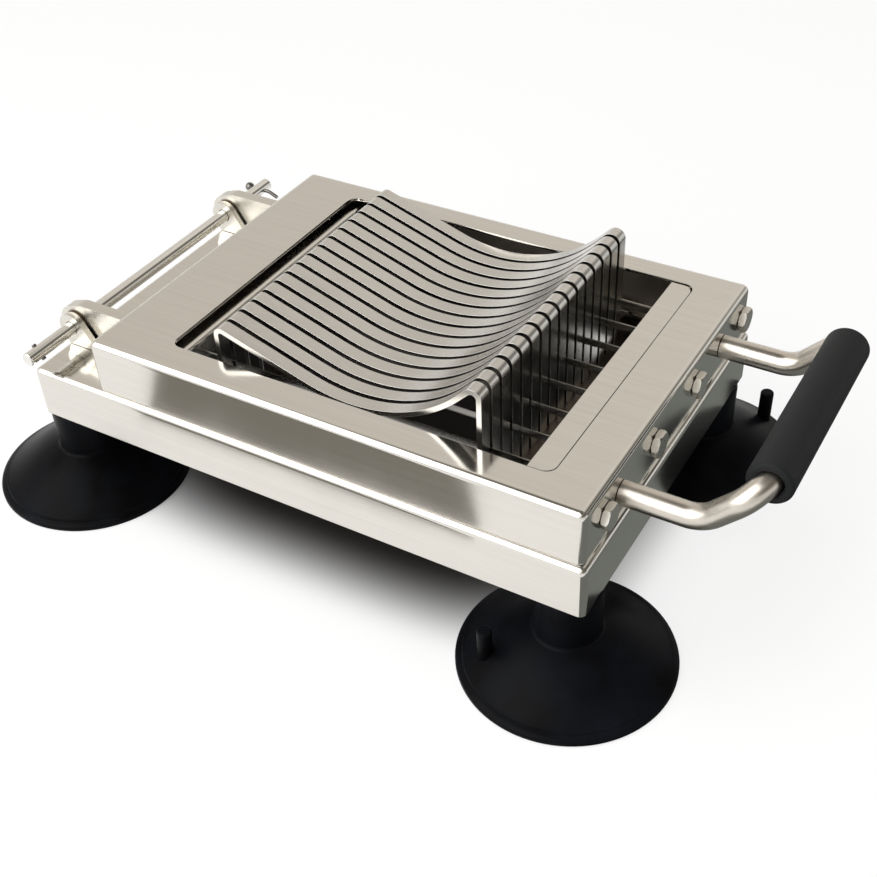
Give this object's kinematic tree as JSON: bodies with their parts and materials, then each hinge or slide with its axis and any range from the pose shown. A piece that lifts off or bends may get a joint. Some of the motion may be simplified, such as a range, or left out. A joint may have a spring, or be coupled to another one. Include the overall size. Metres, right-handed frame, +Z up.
{
  "type": "vegetable stick cutter",
  "caption": "Manual vegetable stick cutter: a hinged steel lid with parallel blades closes over a curved bar cradle; foam-gripped lever handle, box frame and suction feet.",
  "frame": {"origin": "on the ground under the middle of the cutter's overall box, lid closed", "axes": "+X from the hinge towards the handle, +Y to the far side in the picture, +Z up"},
  "size_m": [0.4728, 0.3024, 0.1454],
  "materials": {
    "sheet_steel": "brushed, satin",
    "bar_steel": "finely brushed",
    "blade_steel": "ground bright",
    "fitting_steel": "cast or turned, satin",
    "tube_steel": "polished",
    "foot_rubber": "moulded, semi-gloss",
    "grip_foam": "matt foam rubber"
  },
  "bodies": {
    "base": {"base_frame": "sheet_steel", "cradle_rail_hinge": "fitting_steel", "cradle_rail_handle": "fitting_steel", "cradle_bar_01": "bar_steel", "cradle_bar_02": "bar_steel", "cradle_bar_03": "bar_steel", "cradle_bar_04": "bar_steel", "cradle_bar_05": "bar_steel", "cradle_bar_06": "bar_steel", "cradle_bar_07": "bar_steel", "cradle_bar_08": "bar_steel", "cradle_bar_09": "bar_steel", "cradle_bar_10": "bar_steel", "cradle_bar_11": "bar_steel", "cradle_bar_12": "bar_steel", "cradle_bar_13": "bar_steel", "cradle_bar_14": "bar_steel", "cradle_bar_15": "bar_steel", "cradle_bar_16": "bar_steel", "base_ear_near": "fitting_steel", "base_ear_far": "fitting_steel", "hinge_washer_near": "fitting_steel", "hinge_washer_far": "fitting_steel", "hinge_rod": "tube_steel", "rod_pin_near": "fitting_steel", "rod_pin_far": "fitting_steel", "suction_foot_near_hinge": "foot_rubber", "suction_foot_far_hinge": "foot_rubber", "suction_foot_near_handle": "foot_rubber", "suction_foot_far_handle": "foot_rubber", "corner_plate_near_hinge": "fitting_steel", "corner_plate_far_hinge": "fitting_steel", "corner_plate_near_handle": "fitting_steel", "corner_plate_far_handle": "fitting_steel", "foot_bolt_near_hinge": "fitting_steel", "foot_bolt_far_hinge": "fitting_steel", "foot_bolt_near_handle": "fitting_steel", "foot_bolt_far_handle": "fitting_steel"},
    "lid": {"lid_shell": "sheet_steel", "blade_clamp_hinge": "fitting_steel", "blade_clamp_handle": "fitting_steel", "blade_1": "blade_steel", "blade_2": "blade_steel", "blade_3": "blade_steel", "blade_4": "blade_steel", "blade_5": "blade_steel", "blade_6": "blade_steel", "blade_7": "blade_steel", "blade_8": "blade_steel", "tension_bolt_1": "fitting_steel", "tension_bolt_2": "fitting_steel", "tension_bolt_3": "fitting_steel", "tension_bolt_4": "fitting_steel", "lid_lug_near": "fitting_steel", "lid_lug_far": "fitting_steel", "handle_tube": "tube_steel", "handle_grip": "grip_foam"}
  },
  "joints": [
    {"name": "lid_hinge", "type": "hinge", "parent": "base", "child": "lid", "pos_m": [-0.18293, 0, 0.097], "axis": [0, -1, 0], "range_deg": [0, 100]}
  ]
}
